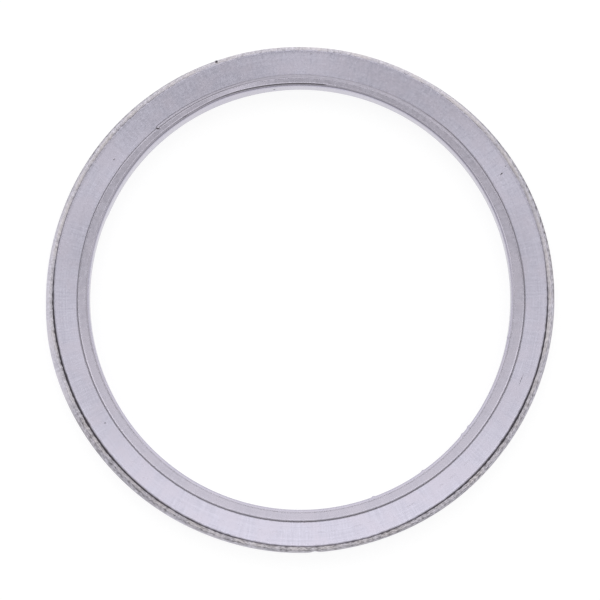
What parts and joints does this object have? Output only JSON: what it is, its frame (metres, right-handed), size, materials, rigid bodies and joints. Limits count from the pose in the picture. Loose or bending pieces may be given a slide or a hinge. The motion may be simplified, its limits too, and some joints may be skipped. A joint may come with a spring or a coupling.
{
  "type": "exhaust manifold gasket",
  "caption": "Flat metal-clad ring gasket for an exhaust port: a folded steel jacket with an inner lip and a crimped rim closes over a cover ring and a soft filler.",
  "frame": {"origin": "on the ring's axis at the back face, which lies on the floor", "axes": "+Z along the ring's axis, from the back face up through the front with the lip; +X towards the picture's right and +Y towards its top"},
  "size_m": [0.06, 0.06, 0.003],
  "materials": {
    "jacket_sheet": "dull rolled stainless sheet",
    "cover_sheet": "smooth rolled stainless sheet",
    "filler_graphite": "pressed flexible graphite, matt"
  },
  "bodies": {
    "root": {"jacket": "jacket_sheet", "cover_ring": "cover_sheet", "filler": "filler_graphite"}
  },
  "joints": []
}
